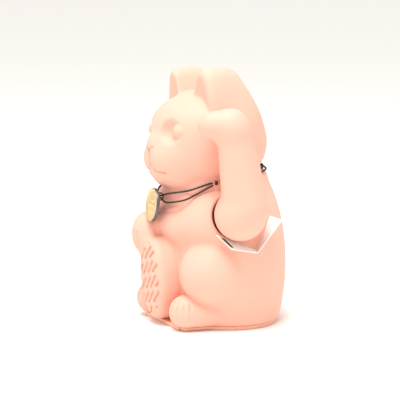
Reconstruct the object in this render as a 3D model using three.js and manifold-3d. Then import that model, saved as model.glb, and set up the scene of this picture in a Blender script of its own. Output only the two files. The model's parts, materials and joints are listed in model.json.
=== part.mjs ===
// A beckoning cat figurine: a hollow moulded cat in two shells on a base plate. Its raised left arm
// swings on a shaft that a magnet and coil keep rocking, fed by one AA cell in the base.
// Millimetres, +Z up. The cat looks along -Y, its own left is +X, and it stands on z = 0.
import * as THREE from 'three';
import { mergeVertices } from 'three/addons/utils/BufferGeometryUtils.js';
import Module from 'manifold-3d';

const wasm = await Module();
wasm.setup();

// ---- Driving dimensions ----

// Gaps
const SEAT_GAP = 0.3; // between pieces that touch
const RUN_GAP = 0.1; // round a turning shaft, on the radius

// Body
const INSIDE_DETAIL = 0.5; // the hollow's facets, as a share of the outside's
const SHELL_WALL = 2;
const TORSO_HALF_WIDTH = 41;
const TORSO_HALF_DEPTH = 34.5;
const TORSO_HALF_HEIGHT = 67.7;
const TORSO_Y = 8.5;
const TORSO_Z = 33;
const CHEST = { at: [0, -6, 57], radii: [27, 25.5, 17.5] };
const BIB = { at: [0, -2.5, 72], radii: [25.5, 25, 12.5] };
const SHOULDER = { at: [22, -4, 61], radii: [16.5, 20, 17.5] };
const NECK = { at: [0, 4.5, 80], radii: [28.5, 29.5, 14] };
const THIGH = { at: [25, -9, 32], radii: [17.5, 20, 19.5] };
const FOOT = { toe: [22, -25, 10.5], heel: [28, 8, 8], toeRadius: 9.5, heelRadius: 7 };

// Head, tilted a little towards the cat's right
const HEAD_TILT = 3; // degrees
const HEAD_TILT_Z = 88;
const HEAD_HALF_WIDTH = 33.5;
const HEAD = { at: [0, 0, 101], depth: 32.5, height: 27 };
const BROW = { at: [0, -3, 110], radii: [31, 29, 20] };
const CHEEK = { at: [4.5, -25.5, 93.5], radii: [11, 11.5, 10] };
const JAW = { at: [0, -18.5, 86], radii: [17, 13.5, 11] };
const NOSE = { at: [0, -32, 102], radii: [4.5, 5, 5.5] };
const EYE_SOCKET = { at: [14.5, -31.5, 110.5], radii: [7.5, 4.5, 6.5] };
const EYE = { at: [16.2, -23.2, 109], radii: [5, 5, 4.6] };
const EAR = { root: 95, peak: 144.5, front: -14.8, back: 5.6, inner: 15.7, outer: 23.6 };
const EAR_LEAN = { inner: 0.435, outer: 0.25, back: 0.58 }; // how much wider it gets for each mm down
const EAR_ROUNDING = 4;
const EAR_HOLLOW = { at: [18.5, -17.5, 127], radii: [9, 5, 15] };
const CROWN = { at: [0, -1, 110], radii: [34, 33, 46] }; // rounds the ears into the head

// Tablet and the right arm that holds it
const TABLET = { z: 28, halfWidth: 14, halfHeight: 22.5, front: -38.3, back: -16, rounding: 2.5, lean: 0.055 };
const FOREARM = { from: [-25, -9, 61.5], to: [-13, -29.5, 54], fromRadius: 10, toRadius: 8.5 };
const PAW = { at: [-10, -34.5, 50], radii: [9, 8, 12] };

// Raised arm
const ARM_WALL = 1.3;
const ARM_SWING_GAP = 0.4; // between the head's widest part and the upright
const PIVOT_Y = -2;
const PIVOT_Z = 66.3;
const HUB_RADIUS = 14.3;
const HUB_OFFSET = 3.8; // the hub sits this far inboard of the upright part
const SIDE_TO_UPRIGHT = 7.7;
const UPRIGHT_RADIUS = 12.6;
const UPRIGHT_TOP_RADIUS = 9.6;
const UPRIGHT_HEIGHT = 43.7;
const UPRIGHT_LEAN = 5.5;
const HAND_RADIUS = 10;
const FINGER_RADIUS = 8.6;
const HAND_REACH = 16;
const OPENING_GAP = 0.9; // between the round hub and the body's opening, which follows it
const SWING = 22; // degrees each way
const SHAFT_RADIUS = 1.5;

// Base plate and battery
const BASE_THICKNESS = 2.4;
const BASE_INSET = 1;
const CELL_RADIUS = 7.25;
const CELL_LENGTH = 49.2;
const CELL_NUB = { radius: 2.75, length: 1.3 };
const CONTACT_SPACE = 4.5; // behind the cell's flat end, for the spring
const CONTACT_THICKNESS = 0.5;
const BAY_WALL = 1.2;
const BAY_Y = 13;
const DOOR_THICKNESS = 1.8;
const SCREW = { shank: 1, head: 2.4, headHeight: 1.4, length: 9 };
const BOSS_RADIUS = 3.2;
const BOSS_HEIGHT = 11;

// Movement
const CHEEK_THICKNESS = 2;
const CHEEK_FRONT = -9;
const COUNTERWEIGHT = { radius: 6, length: 20, drop: 25, back: 1.7 }; // back: so that the arm rests upright
const MAGNET = { radius: 4, height: 3 };
const LEVER_THICKNESS = 4;
const SHELF_THICKNESS = 1.6;
const COIL = { radius: 8.5, core: 3, flange: 0.8 };
const COIL_AIR_GAP = 1.5;
const FRAME_BOSS_HEIGHT = 6;
const BOARD = { width: 20, depth: 11, thickness: 1.2, z: 5 };
const LEAD_RADIUS = 0.6;

// Collar and card
const CORD_RADIUS = 0.55;
const KNOT = { at: [27.2, -9, 82.4], radius: 1.5 };
const MEDAL = { radius: 9.4, thickness: 1.9, tilt: 8, x: 1.5 };
const RING = { radius: 2, wire: 0.45, y: -31.2, z: 72.6 };
const PAPER = 0.5;
// Each edge of the card is an inner and an outer corner: millimetres out from the body's side, then
// depth and height from the pivot in hub radii.
const CARD = {
  frontEdge: [[-2.3, -0.818, -0.785], [7.7, -0.503, -1.26]],
  foldEdge: [[1.7, 0.818, -1.485], [7.2, 0.629, -1.49]],
  backEdge: [[-4.3, 1.538, -0.217], [7.2, 1.685, -0.28]],
};

// ---- Materials ----

const finish = (color, roughness, metalness = 0) => (
  new THREE.MeshStandardMaterial({ color, roughness, metalness })
);
const peach = () => finish(0xf6c4a6, 0.75);
const greyPlastic = () => finish(0xb9b9b4, 0.55);
const steel = () => finish(0xb6b8bb, 0.35, 1);
const zinc = () => finish(0xc9c6be, 0.3, 1);

// ---- Solids: closed geometry in, geometry out ----

/** The solid of a closed geometry. */
function solid(geometry) {
  const bare = geometry.clone();
  bare.deleteAttribute('normal');
  bare.deleteAttribute('uv');
  const merged = mergeVertices(bare, 1e-4);
  const corners = merged.index.array;
  const points = merged.attributes.position.array;
  const triVerts = [];
  for (let i = 0; i < corners.length; i += 3) {
    const [a, b, c] = corners.slice(i, i + 3);
    if (a !== b && b !== c && c !== a) triVerts.push(a, b, c);
  }
  const mesh = new wasm.Mesh({
    numProp: 3,
    vertProperties: new Float32Array(points),
    triVerts: new Uint32Array(triVerts),
  });
  return new wasm.Manifold(mesh);
}

/** The geometry of a solid. */
function geometryOf(shape) {
  const { vertProperties, triVerts } = shape.getMesh();
  const geometry = new THREE.BufferGeometry();
  geometry.setAttribute('position', new THREE.BufferAttribute(vertProperties, 3));
  geometry.setIndex(new THREE.BufferAttribute(triVerts, 1));
  geometry.computeVertexNormals();
  return geometry;
}

const join = (shapes) => shapes.reduce((sum, shape) => sum.add(shape));

/** A box between two corners. */
function box([x0, y0, z0], [x1, y1, z1]) {
  const geometry = new THREE.BoxGeometry(x1 - x0, y1 - y0, z1 - z0);
  geometry.translate((x0 + x1) / 2, (y0 + y1) / 2, (z0 + z1) / 2);
  return solid(geometry);
}

/** An ellipsoid, made smaller all round by the inset. */
function ellipsoid({ at, radii }, inset = 0, around = 16) {
  const sides = inset > 0 ? Math.round(around * INSIDE_DETAIL) : around;
  const geometry = new THREE.SphereGeometry(1, sides, Math.round(sides * 0.55));
  geometry.rotateX(Math.PI / 2);
  geometry.scale(...radii.map((radius) => radius - inset));
  geometry.translate(...at);
  return solid(geometry);
}

/** A round rod with ball ends of two radii, from one point to another. */
function taperedRod(from, to, fromRadius, toRadius, inset = 0, around = 16) {
  const start = new THREE.Vector3(...from);
  const end = new THREE.Vector3(...to);
  const length = start.distanceTo(end);
  const slope = Math.asin((fromRadius - toRadius) / length);
  const steps = 3;
  const profile = [];
  for (let i = 0; i <= steps; i += 1) {
    const angle = -Math.PI / 2 + ((Math.PI / 2 + slope) * i) / steps;
    const radius = fromRadius - inset;
    profile.push(new THREE.Vector2(radius * Math.cos(angle), radius * Math.sin(angle)));
  }
  for (let i = 0; i <= steps; i += 1) {
    const angle = slope + ((Math.PI / 2 - slope) * i) / steps;
    const radius = toRadius - inset;
    profile.push(new THREE.Vector2(radius * Math.cos(angle), length + radius * Math.sin(angle)));
  }
  profile[0].x = 0;
  profile[profile.length - 1].x = 0;
  const sides = inset > 0 ? Math.round(around * INSIDE_DETAIL) : around;
  const geometry = new THREE.LatheGeometry(profile, sides);
  const direction = end.clone().sub(start).normalize();
  geometry.applyQuaternion(new THREE.Quaternion().setFromUnitVectors(new THREE.Vector3(0, 1, 0), direction));
  geometry.translate(...from);
  return solid(geometry);
}

/** A round bar along X, Y or Z, centred on the two other coordinates, from low to high. */
function bar(axis, centre, radius, low, high, around = 20) {
  const geometry = new THREE.CylinderGeometry(radius, radius, high - low, around);
  const middle = (low + high) / 2;
  if (axis === 'x') {
    geometry.rotateZ(Math.PI / 2);
    geometry.translate(middle, ...centre);
  } else if (axis === 'y') {
    geometry.translate(centre[0], middle, centre[1]);
  } else {
    geometry.rotateX(Math.PI / 2);
    geometry.translate(...centre, middle);
  }
  return solid(geometry);
}

/** A flat outline in the plane across X or Y, given by a shape of (y, z) or (x, z), pushed from low to high. */
function slab(axis, outline, low, high) {
  const geometry = new THREE.ExtrudeGeometry(outline, {
    depth: high - low,
    bevelEnabled: false,
    curveSegments: 5,
  });
  if (axis === 'x') {
    geometry.applyMatrix4(new THREE.Matrix4().set(0, 0, 1, low, 1, 0, 0, 0, 0, 1, 0, 0, 0, 0, 0, 1));
  } else if (axis === 'y') {
    geometry.applyMatrix4(new THREE.Matrix4().set(1, 0, 0, 0, 0, 0, -1, high, 0, 1, 0, 0, 0, 0, 0, 1));
  } else {
    geometry.translate(0, 0, low);
  }
  return solid(geometry);
}

/** An ellipse as a shape. */
function oval(cx, cy, rx, ry, steps = 24) {
  const outline = new THREE.Shape();
  outline.setFromPoints(new THREE.EllipseCurve(cx, cy, rx, ry, 0, 2 * Math.PI).getPoints(steps).slice(0, -1));
  return outline;
}

/** A tube of wire or cord along a smooth curve through points. */
function tube(points, radius, steps, sides = 8) {
  const path = new THREE.CatmullRomCurve3(points.map((point) => new THREE.Vector3(...point)));
  const section = new THREE.Shape();
  section.setFromPoints(new THREE.EllipseCurve(0, 0, radius, radius, 0, 2 * Math.PI).getPoints(sides).slice(0, -1));
  return new THREE.ExtrudeGeometry(section, { steps, extrudePath: path, curveSegments: 1 });
}

/** A solid reshaped by a matrix. */
function reshaped(shape, matrix) {
  const geometry = geometryOf(shape);
  geometry.applyMatrix4(matrix);
  return solid(geometry);
}

const mirrored = ({ at, radii }, side) => ({ at: [side * at[0], at[1], at[2]], radii });
const flip = ([x, y, z], side) => [side * x, y, z];

// ---- Body shells ----

const SEAM_Z = BASE_THICKNESS + SEAT_GAP;
const torso = { at: [0, TORSO_Y, TORSO_Z], radii: [TORSO_HALF_WIDTH, TORSO_HALF_DEPTH, TORSO_HALF_HEIGHT] };
const head = { at: HEAD.at, radii: [HEAD_HALF_WIDTH, HEAD.depth, HEAD.height] };

/** How much of the torso's width and depth is left at height z. */
const torsoShare = (z) => Math.sqrt(1 - ((z - TORSO_Z) / TORSO_HALF_HEIGHT) ** 2);

/** The torso's half width at depth y and height z. */
function torsoSide(y, z) {
  const across = ((y - TORSO_Y) / TORSO_HALF_DEPTH) ** 2;
  return TORSO_HALF_WIDTH * Math.sqrt(Math.max(torsoShare(z) ** 2 - across, 0));
}

/** How far the shoulder reaches to the side at depth y and height z. */
function shoulderSide(y, z) {
  const { at, radii } = SHOULDER;
  const across = ((y - at[1]) / radii[1]) ** 2 + ((z - at[2]) / radii[2]) ** 2;
  return at[0] + radii[0] * Math.sqrt(Math.max(1 - across, 0));
}

/** The body's widest reach round the hub's rim. */
function widestAtRim() {
  const sides = Array.from({ length: 72 }, (_, i) => {
    const angle = (i * Math.PI) / 36;
    const y = PIVOT_Y + HUB_RADIUS * Math.cos(angle);
    const z = PIVOT_Z + HUB_RADIUS * Math.sin(angle);
    return Math.max(torsoSide(y, z), shoulderSide(y, z));
  });
  return Math.max(...sides);
}

const BODY_SIDE = widestAtRim();
const UPRIGHT_X = Math.max(
  BODY_SIDE + SIDE_TO_UPRIGHT,
  HEAD_HALF_WIDTH + ARM_SWING_GAP + UPRIGHT_RADIUS,
);
const HUB_X = UPRIGHT_X - HUB_OFFSET;

/** One ear: its outline from the front crossed with its outline from the side, hollowed in front. */
function ear(side, inset) {
  const { root, peak, front, back, inner, outer } = EAR;
  const top = peak - inset;
  const shoulder = top - EAR_ROUNDING;
  const isLining = inset > 0;
  const face = inset + (isLining ? EAR_HOLLOW.at[1] + EAR_HOLLOW.radii[1] : front);
  const innerAt = (z) => side * (inner + inset - EAR_LEAN.inner * (top - z));
  const outerAt = (z) => side * (outer - inset + EAR_LEAN.outer * (top - z));
  const backAt = (z) => back - inset + EAR_LEAN.back * (top - z);
  const fromFront = new THREE.Shape();
  fromFront.moveTo(innerAt(root), root);
  fromFront.lineTo(innerAt(shoulder), shoulder);
  fromFront.quadraticCurveTo(innerAt(top), top, (innerAt(top) + outerAt(top)) / 2, top);
  fromFront.quadraticCurveTo(outerAt(top), top, outerAt(shoulder), shoulder);
  fromFront.lineTo(outerAt(root), root);
  const fromSide = new THREE.Shape();
  fromSide.moveTo(face, root);
  fromSide.lineTo(face, shoulder);
  fromSide.quadraticCurveTo(face, top, face + EAR_ROUNDING, top);
  fromSide.lineTo(backAt(top) - EAR_ROUNDING, top);
  fromSide.quadraticCurveTo(backAt(top), top, backAt(shoulder), shoulder);
  fromSide.lineTo(backAt(root), root);
  const wedge = slab('y', fromFront, -60, 60).intersect(slab('x', fromSide, -60, 60));
  const whole = wedge.intersect(ellipsoid(CROWN, inset, 22));
  return isLining ? whole : whole.subtract(ellipsoid(mirrored(EAR_HOLLOW, side), 0, 12));
}

/** The head with its face and ears, tilted. */
function headForm(inset) {
  const shapes = [
    ellipsoid(head, inset, 22),
    ellipsoid(BROW, inset, 16),
    ellipsoid(JAW, inset, 14),
  ];
  if (inset <= 0) shapes.push(ellipsoid(NOSE, inset, 10)); // the nose is solid
  const sockets = [];
  const eyes = [];
  for (const side of [-1, 1]) {
    shapes.push(ellipsoid(mirrored(CHEEK, side), inset, 14));
    shapes.push(ear(side, inset));
    sockets.push(ellipsoid(mirrored(EYE_SOCKET, side), -inset, 12));
    eyes.push(ellipsoid(mirrored(EYE, side), inset, 12));
  }
  const whole = join([join(shapes).subtract(join(sockets)), ...eyes]);
  const tilt = new THREE.Matrix4().makeTranslation(0, 0, HEAD_TILT_Z);
  tilt.multiply(new THREE.Matrix4().makeRotationY(-THREE.MathUtils.degToRad(HEAD_TILT)));
  tilt.multiply(new THREE.Matrix4().makeTranslation(0, 0, -HEAD_TILT_Z));
  return reshaped(whole, tilt);
}

/** The oval tablet, leaning forward, with a rounded front edge. */
function tablet(inset) {
  const { z, halfWidth, halfHeight, front, back, rounding, lean } = TABLET;
  const outline = oval(0, z, halfWidth - inset, halfHeight - inset);
  const geometry = new THREE.ExtrudeGeometry(outline, {
    depth: back - front - inset - 2 * rounding,
    bevelThickness: rounding,
    bevelSize: rounding,
    bevelOffset: -rounding,
    bevelSegments: 2,
  });
  geometry.translate(0, 0, rounding);
  const leanBack = back + lean * z;
  geometry.applyMatrix4(new THREE.Matrix4().set(1, 0, 0, 0, 0, -lean, -1, leanBack, 0, 1, 0, 0, 0, 0, 0, 1));
  return solid(geometry);
}

/** The whole cat without its raised arm, made smaller all round by the inset. */
function cat(inset) {
  const shapes = [
    ellipsoid(torso, inset, 34),
    ellipsoid(CHEST, inset, 16),
    ellipsoid(BIB, inset, 16),
    ellipsoid(NECK, inset, 16),
    headForm(inset),
    tablet(inset),
    taperedRod(FOREARM.from, FOREARM.to, FOREARM.fromRadius, FOREARM.toRadius, inset),
    ellipsoid(PAW, inset, 14),
  ];
  for (const side of [-1, 1]) {
    shapes.push(ellipsoid(mirrored(SHOULDER, side), inset, 16));
    shapes.push(ellipsoid(mirrored(THIGH, side), inset, 16));
    const { toe, heel, toeRadius, heelRadius } = FOOT;
    shapes.push(taperedRod(flip(toe, side), flip(heel, side), toeRadius, heelRadius, inset, 12));
  }
  return join(shapes);
}

const outerForm = cat(0);
const innerForm = cat(SHELL_WALL);

// The battery bay, which the shells keep clear of
const BAY_LENGTH = CELL_LENGTH + CELL_NUB.length + CONTACT_SPACE + 2 * CONTACT_THICKNESS + 3 * SEAT_GAP;
const BAY_HALF_WIDTH = CELL_RADIUS + SEAT_GAP;
const BAY_END = BAY_LENGTH / 2;
const CELL_Z = DOOR_THICKNESS + 2 * SEAT_GAP + CELL_RADIUS;
const ROOF_UNDER = CELL_Z + CELL_RADIUS + SEAT_GAP;
const ROOF_TOP = ROOF_UNDER + BAY_WALL;
const bayRoom = box(
  [-BAY_END - BAY_WALL - SEAT_GAP, BAY_Y - BAY_HALF_WIDTH - BAY_WALL - SEAT_GAP, 0],
  [BAY_END + BAY_WALL + SEAT_GAP, BAY_Y + BAY_HALF_WIDTH + BAY_WALL + SEAT_GAP, ROOF_TOP + SEAT_GAP],
);

// Base screws: two in each shell, on bosses that ribs tie to the wall.
const BASE_SCREW_ANGLES = [45, 135, 215, 325];
const seamShare = torsoShare(SEAM_Z);
const baseScrews = BASE_SCREW_ANGLES.map((degrees) => {
  const angle = THREE.MathUtils.degToRad(degrees);
  const reach = BOSS_RADIUS + SHELL_WALL;
  return {
    angle,
    x: (TORSO_HALF_WIDTH * seamShare - reach) * Math.cos(angle),
    y: TORSO_Y + (TORSO_HALF_DEPTH * seamShare - reach) * Math.sin(angle),
  };
});

/** A screw boss with the rib that ties it to the shell's wall. */
function boss({ x, y, angle }) {
  const post = bar('z', [x, y], BOSS_RADIUS, SEAM_Z, SEAM_Z + BOSS_HEIGHT, 16);
  const rib = new THREE.BoxGeometry(16, 2, BOSS_HEIGHT);
  rib.translate(8, 0, 0);
  rib.rotateZ(angle);
  rib.translate(x, y, SEAM_Z + BOSS_HEIGHT / 2);
  return post.add(solid(rib));
}

/** The space that the raised arm sweeps, beside the head and neck. */
function armSweep() {
  const reach = UPRIGHT_HEIGHT + 40;
  const spread = THREE.MathUtils.degToRad(SWING + 25);
  const outline = new THREE.Shape();
  outline.moveTo(PIVOT_Y, PIVOT_Z + HUB_RADIUS);
  outline.absarc(PIVOT_Y, PIVOT_Z + HUB_RADIUS, reach, Math.PI / 2 - spread, Math.PI / 2 + spread);
  return slab('x', outline, UPRIGHT_X - UPRIGHT_RADIUS - ARM_SWING_GAP / 2, UPRIGHT_X + 60);
}

const bosses = join(baseScrews.map(boss)).intersect(outerForm);
const screwHoles = join(baseScrews.map(({ x, y }) => (
  bar('z', [x, y], SCREW.shank + SEAT_GAP, SEAM_Z - 1, SEAM_Z + BOSS_HEIGHT - 2, 12)
)));
const openingRadii = Array(3).fill(HUB_RADIUS + OPENING_GAP);
const shaftWay = bar('x', [PIVOT_Y, PIVOT_Z], SHAFT_RADIUS + OPENING_GAP, 15, HUB_X, 20);
const sideOpening = ellipsoid({ at: [HUB_X, PIVOT_Y, PIVOT_Z], radii: openingRadii }, 0, 32).add(shaftWay);
const belowSeam = box([-90, -90, -20], [90, 90, SEAM_Z]);
const shells = outerForm
  .subtract(innerForm)
  .add(bosses)
  .subtract(join([screwHoles, sideOpening, belowSeam, bayRoom, armSweep()]));
const frontHalf = box([-90, -90, -20], [90, PIVOT_Y - SEAT_GAP / 2, 200]);
const backHalf = box([-90, PIVOT_Y + SEAT_GAP / 2, -20], [90, 90, 200]);
const frontShell = shells.intersect(frontHalf);
const backShell = shells.intersect(backHalf);

// ---- Base plate, with the battery bay and the movement's bosses ----

const CHEEK_INNER = COUNTERWEIGHT.length / 2 + 2.5;
const CHEEK_OUTER = CHEEK_INNER + CHEEK_THICKNESS;
const CHEEK_BACK = BAY_Y - BAY_HALF_WIDTH - BAY_WALL - SEAT_GAP;
const FRAME_BOSS_X = CHEEK_OUTER + BOSS_RADIUS + SEAT_GAP;
const FRAME_BOSS_Y = (CHEEK_FRONT + CHEEK_BACK) / 2;
const FRAME_FOOT_Z = BASE_THICKNESS + FRAME_BOSS_HEIGHT + SEAT_GAP;

/** The base plate's outline, a little inside the shells' bottom edge, with a straight edge between the feet. */
function baseOutline() {
  const width = TORSO_HALF_WIDTH * seamShare - BASE_INSET;
  const depth = TORSO_HALF_DEPTH * seamShare - BASE_INSET;
  const { toe, heel, toeRadius } = FOOT;
  const toeEdge = Math.sqrt(toeRadius ** 2 - (toe[2] - SEAM_Z) ** 2);
  const front = toe[1] - toeEdge + BASE_INSET;
  const pieces = [
    slab('z', oval(0, TORSO_Y, width, depth, 36), 0, BASE_THICKNESS),
    box([-toe[0], front, 0], [toe[0], TORSO_Y, BASE_THICKNESS]),
  ];
  for (const side of [-1, 1]) {
    pieces.push(bar('z', [side * toe[0], toe[1]], toeEdge - BASE_INSET, 0, BASE_THICKNESS));
    const flank = oval(side * (toe[0] + heel[0]) / 2, (toe[1] + heel[1]) / 2, toeEdge, 18);
    pieces.push(slab('z', flank, 0, BASE_THICKNESS));
  }
  return join(pieces);
}

/** The base plate with its bay, bosses, board ribs and holes. */
function basePlate() {
  const wall = BAY_WALL;
  const contactSlot = (x) => box([x - 0.6, BAY_Y - 1.8, ROOF_UNDER - 1], [x + 0.6, BAY_Y + 1.8, ROOF_TOP + 1]);
  const solids = [
    baseOutline(),
    box(
      [-BAY_END - wall, BAY_Y - BAY_HALF_WIDTH - wall, 0],
      [BAY_END + wall, BAY_Y + BAY_HALF_WIDTH + wall, ROOF_TOP],
    ),
  ];
  for (const side of [-1, 1]) {
    solids.push(bar('z', [side * FRAME_BOSS_X, FRAME_BOSS_Y], BOSS_RADIUS, 0, BASE_THICKNESS + FRAME_BOSS_HEIGHT, 16));
    const ribX = side * (BOARD.width / 2 - 2);
    solids.push(box([ribX - 0.8, BOARD_Y - 4, 0], [ribX + 0.8, BOARD_Y + 4, BOARD.z - SEAT_GAP]));
  }
  const holes = [
    box([-BAY_END, BAY_Y - BAY_HALF_WIDTH, -1], [BAY_END, BAY_Y + BAY_HALF_WIDTH, ROOF_UNDER]),
    contactSlot(-BAY_END + SEAT_GAP + CONTACT_THICKNESS / 2),
    contactSlot(BAY_END - SEAT_GAP - CONTACT_THICKNESS / 2),
  ];
  for (const { x, y } of baseScrews) {
    holes.push(bar('z', [x, y], SCREW.shank + SEAT_GAP, -1, BASE_THICKNESS + 1, 12));
    holes.push(bar('z', [x, y], SCREW.head + SEAT_GAP, -1, SCREW.headHeight + SEAT_GAP / 2, 16));
  }
  for (const side of [-1, 1]) {
    const centre = [side * FRAME_BOSS_X, FRAME_BOSS_Y];
    holes.push(bar('z', centre, SCREW.shank + SEAT_GAP, 1, BASE_THICKNESS + FRAME_BOSS_HEIGHT + 1, 12));
  }
  return join(solids).subtract(join(holes));
}

const BOARD_Y = CHEEK_FRONT - 4;

/** The battery door: a plate with a latch tongue, and a groove for a fingertip. */
function batteryDoor() {
  const end = BAY_END - SEAT_GAP;
  const halfWidth = BAY_HALF_WIDTH - SEAT_GAP;
  const plate = box([-end, BAY_Y - halfWidth, 0], [end, BAY_Y + halfWidth, DOOR_THICKNESS]);
  const groove = bar('y', [end - 6, -1.2], 2, BAY_Y - 4, BAY_Y + 4, 16);
  return plate.subtract(groove);
}

// ---- Cell and contacts ----

const CELL_START = -BAY_END + SEAT_GAP + CONTACT_THICKNESS + CONTACT_SPACE;

/** The AA cell, its button towards +X. */
function cell() {
  const { radius, length } = CELL_NUB;
  const profile = [
    [0, 0],
    [CELL_RADIUS - 0.8, 0],
    [CELL_RADIUS, 0.8],
    [CELL_RADIUS, CELL_LENGTH - 0.8],
    [CELL_RADIUS - 0.8, CELL_LENGTH],
    [radius, CELL_LENGTH],
    [radius, CELL_LENGTH + length],
    [0, CELL_LENGTH + length],
  ].map(([x, y]) => new THREE.Vector2(x, y));
  const geometry = new THREE.LatheGeometry(profile, 24);
  geometry.rotateZ(-Math.PI / 2);
  geometry.translate(CELL_START, BAY_Y, CELL_Z);
  return geometry;
}

/** A flat contact with a solder tab that comes up through the bay's roof. */
function contact(x) {
  const half = CONTACT_THICKNESS / 2;
  const plate = box([x - half, BAY_Y - 5.5, CELL_Z - 5.5], [x + half, BAY_Y + 5.5, ROOF_UNDER - SEAT_GAP]);
  return plate.add(box([x - half, BAY_Y - 1.5, CELL_Z], [x + half, BAY_Y + 1.5, ROOF_TOP + 2]));
}

const NEGATIVE_X = -BAY_END + SEAT_GAP + CONTACT_THICKNESS / 2;
const POSITIVE_X = BAY_END - SEAT_GAP - CONTACT_THICKNESS / 2;

/** The cone spring between the flat contact and the cell. */
function contactSpring() {
  const turns = 3;
  const steps = 24;
  const wire = 0.4;
  const start = NEGATIVE_X + CONTACT_THICKNESS / 2 + wire + RUN_GAP;
  const travel = CELL_START - wire - RUN_GAP - start;
  const points = [];
  for (let i = 0; i <= steps; i += 1) {
    const share = i / steps;
    const angle = share * turns * 2 * Math.PI;
    const radius = 5 - 2 * share;
    points.push([start + travel * share, BAY_Y + radius * Math.cos(angle), CELL_Z + radius * Math.sin(angle)]);
  }
  return tube(points, wire, 30, 5);
}

// ---- Movement ----

const SHELF_Z = ROOF_TOP + SEAT_GAP;
const LEVER_RING = COUNTERWEIGHT.radius + 2;
const MAGNET_TOP = PIVOT_Z - COUNTERWEIGHT.drop - LEVER_RING - 1.5;
const COIL_TOP = MAGNET_TOP - MAGNET.height - COIL_AIR_GAP;
const COIL_BOTTOM = SHELF_Z + SHELF_THICKNESS + SEAT_GAP;
const BUSH_RADIUS = SHAFT_RADIUS + RUN_GAP + 1.6;
const SHAFT_START = -CHEEK_OUTER - 3.5;
const SOCKET_END = UPRIGHT_X + 0.5;

/** The moulded frame: two cheeks for the bushes, a shelf for the coil, two feet. */
function movementFrame() {
  const solids = [
    box(
      [-CHEEK_OUTER, PIVOT_Y - COIL.radius - 1, SHELF_Z],
      [CHEEK_OUTER, PIVOT_Y + COIL.radius + 1, SHELF_Z + SHELF_THICKNESS],
    ),
  ];
  const holes = [];
  for (const side of [-1, 1]) {
    const low = side < 0 ? -CHEEK_OUTER : CHEEK_INNER;
    const cheek = new THREE.Shape();
    cheek.moveTo(CHEEK_FRONT, FRAME_FOOT_Z);
    cheek.lineTo(CHEEK_BACK, FRAME_FOOT_Z);
    cheek.lineTo(CHEEK_BACK, SHELF_Z + 8);
    cheek.lineTo(PIVOT_Y + 5, PIVOT_Z);
    cheek.absarc(PIVOT_Y, PIVOT_Z, 5, 0, Math.PI);
    cheek.lineTo(CHEEK_FRONT, SHELF_Z + 8);
    solids.push(slab('x', cheek, low, low + CHEEK_THICKNESS));
    const footStart = side * CHEEK_INNER;
    const footEnd = side * (FRAME_BOSS_X + BOSS_RADIUS);
    solids.push(box(
      [Math.min(footStart, footEnd), CHEEK_FRONT, FRAME_FOOT_Z],
      [Math.max(footStart, footEnd), CHEEK_BACK, FRAME_FOOT_Z + 2],
    ));
    holes.push(bar('x', [PIVOT_Y, PIVOT_Z], BUSH_RADIUS + RUN_GAP, low - 1, low + CHEEK_THICKNESS + 1, 20));
    const screw = [side * FRAME_BOSS_X, FRAME_BOSS_Y];
    holes.push(bar('z', screw, SCREW.shank + SEAT_GAP, FRAME_FOOT_Z - 1, FRAME_FOOT_Z + 3, 12));
  }
  for (const { x, y } of baseScrews) {
    holes.push(bar('z', [x, y], BOSS_RADIUS + SEAT_GAP, SEAM_Z, SEAM_Z + BOSS_HEIGHT + SEAT_GAP, 16));
  }
  return join(solids).subtract(join(holes));
}

/** A flanged bush in one cheek. */
function bush(side) {
  const ring = (radius, low, high) => {
    const [from, to] = side > 0 ? [low, high] : [-high, -low];
    return bar('x', [PIVOT_Y, PIVOT_Z], radius, from, to, 20);
  };
  const sleeve = ring(BUSH_RADIUS, CHEEK_INNER, CHEEK_OUTER + 0.5);
  const flange = ring(BUSH_RADIUS + 1, CHEEK_OUTER + RUN_GAP, CHEEK_OUTER + 1);
  const bore = ring(SHAFT_RADIUS + RUN_GAP, CHEEK_INNER - 1, CHEEK_OUTER + 2);
  return sleeve.add(flange).subtract(bore);
}

/** The coil's bobbin: a core between two flanges. */
function bobbin() {
  const centre = [0, PIVOT_Y];
  const { radius, core, flange } = COIL;
  return join([
    bar('z', centre, radius, COIL_BOTTOM, COIL_BOTTOM + flange, 28),
    bar('z', centre, core, COIL_BOTTOM, COIL_TOP, 20),
    bar('z', centre, radius, COIL_TOP - flange, COIL_TOP, 28),
  ]);
}

/** The copper winding round the core. */
function winding() {
  const centre = [0, PIVOT_Y];
  const low = COIL_BOTTOM + COIL.flange + SEAT_GAP;
  const high = COIL_TOP - COIL.flange - SEAT_GAP;
  const outside = bar('z', centre, COIL.radius - 0.7, low, high, 28);
  return outside.subtract(bar('z', centre, COIL.core + SEAT_GAP, low - 1, high + 1, 20));
}

/** The circuit board with a potted chip. */
function circuitBoard() {
  const { width, depth, thickness, z } = BOARD;
  const plate = box(
    [-width / 2, BOARD_Y - depth / 2, z],
    [width / 2, BOARD_Y + depth / 2, z + thickness],
  );
  const chip = ellipsoid({ at: [-3, BOARD_Y, z + thickness], radii: [3.5, 3.5, 1.6] }, 0, 14);
  const above = box([-width, BOARD_Y - depth, z + thickness / 2], [width, BOARD_Y + depth, z + 6]);
  const capacitor = bar('z', [5, BOARD_Y], 2, z + thickness / 2, z + thickness + 4, 14);
  return join([plate, chip.intersect(above), capacitor]);
}

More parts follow.
